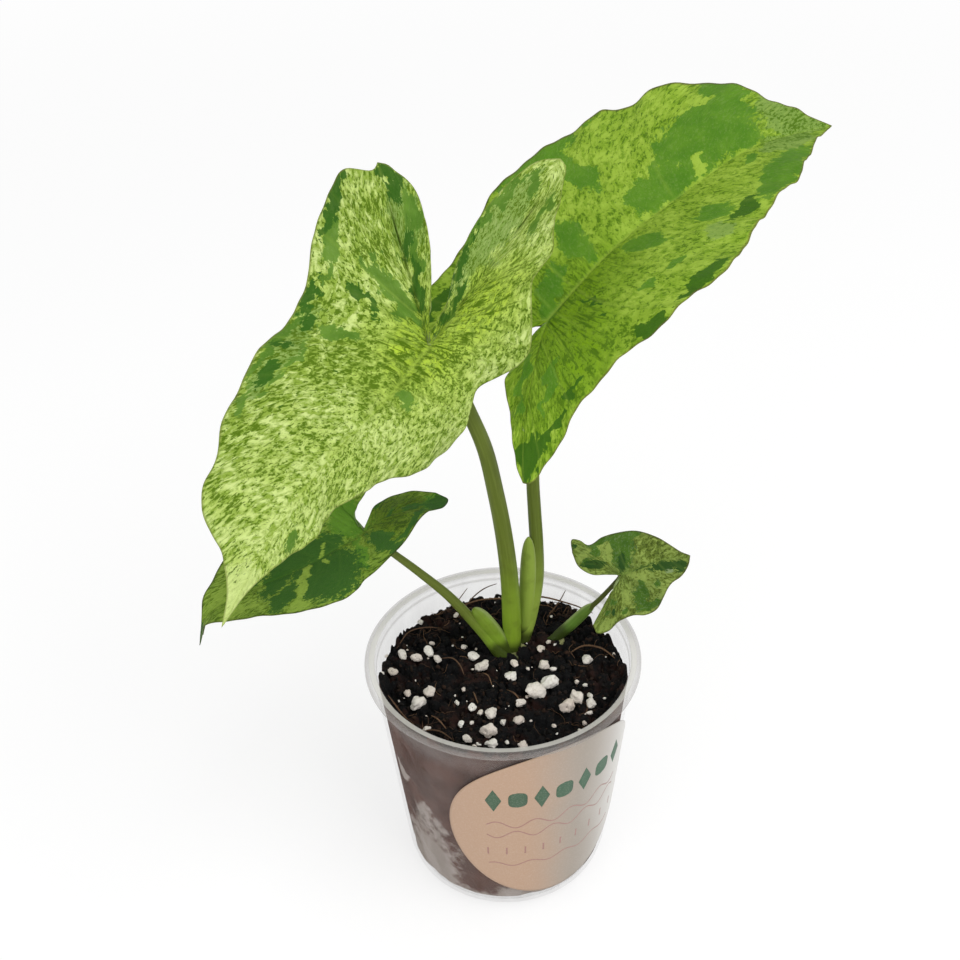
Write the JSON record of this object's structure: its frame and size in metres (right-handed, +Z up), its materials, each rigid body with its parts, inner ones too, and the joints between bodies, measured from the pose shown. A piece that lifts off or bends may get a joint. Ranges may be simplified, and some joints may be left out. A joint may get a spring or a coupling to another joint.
{
  "type": "potted syngonium",
  "caption": "Young syngonium with variegated arrow-shaped leaves on slender petioles, rooted in dark soil with perlite in a clear tapered nursery cup with a round paper label.",
  "frame": {"origin": "centre of the cup's flat base, on the surface it stands on", "axes": "+Z up along the cup's axis; -Y is the front, from which the label is seen a little to the right; +X is the right-hand side seen from the front"},
  "size_m": [0.1451, 0.1233, 0.1821],
  "materials": {
    "clear_plastic": "frosted clear, satin",
    "label_paper": "matte",
    "soil": "matte",
    "crown": "satin",
    "petiole": "satin",
    "blade": "satin",
    "blade_dark": "satin",
    "perlite": "matte"
  },
  "bodies": {
    "root": {"cup": "clear_plastic", "label": "label_paper", "soil": "soil", "crown": "crown", "side_shoot": "crown", "petiole_a": "petiole", "blade_a": "blade", "petiole_b": "petiole", "blade_b": "blade", "petiole_c": "petiole", "blade_c": "blade_dark", "petiole_d": "petiole", "blade_d": "blade", "perlite_01": "perlite", "perlite_02": "perlite", "perlite_03": "perlite", "perlite_04": "perlite", "perlite_05": "perlite", "perlite_06": "perlite", "perlite_07": "perlite", "perlite_08": "perlite", "perlite_09": "perlite", "perlite_10": "perlite", "perlite_11": "perlite", "perlite_12": "perlite", "perlite_13": "perlite", "perlite_14": "perlite", "perlite_15": "perlite", "perlite_16": "perlite", "perlite_17": "perlite", "perlite_18": "perlite", "perlite_19": "perlite", "perlite_20": "perlite", "perlite_21": "perlite", "perlite_22": "perlite", "perlite_23": "perlite", "perlite_24": "perlite", "perlite_25": "perlite", "perlite_26": "perlite", "perlite_27": "perlite", "perlite_28": "perlite", "perlite_29": "perlite"}
  },
  "joints": []
}
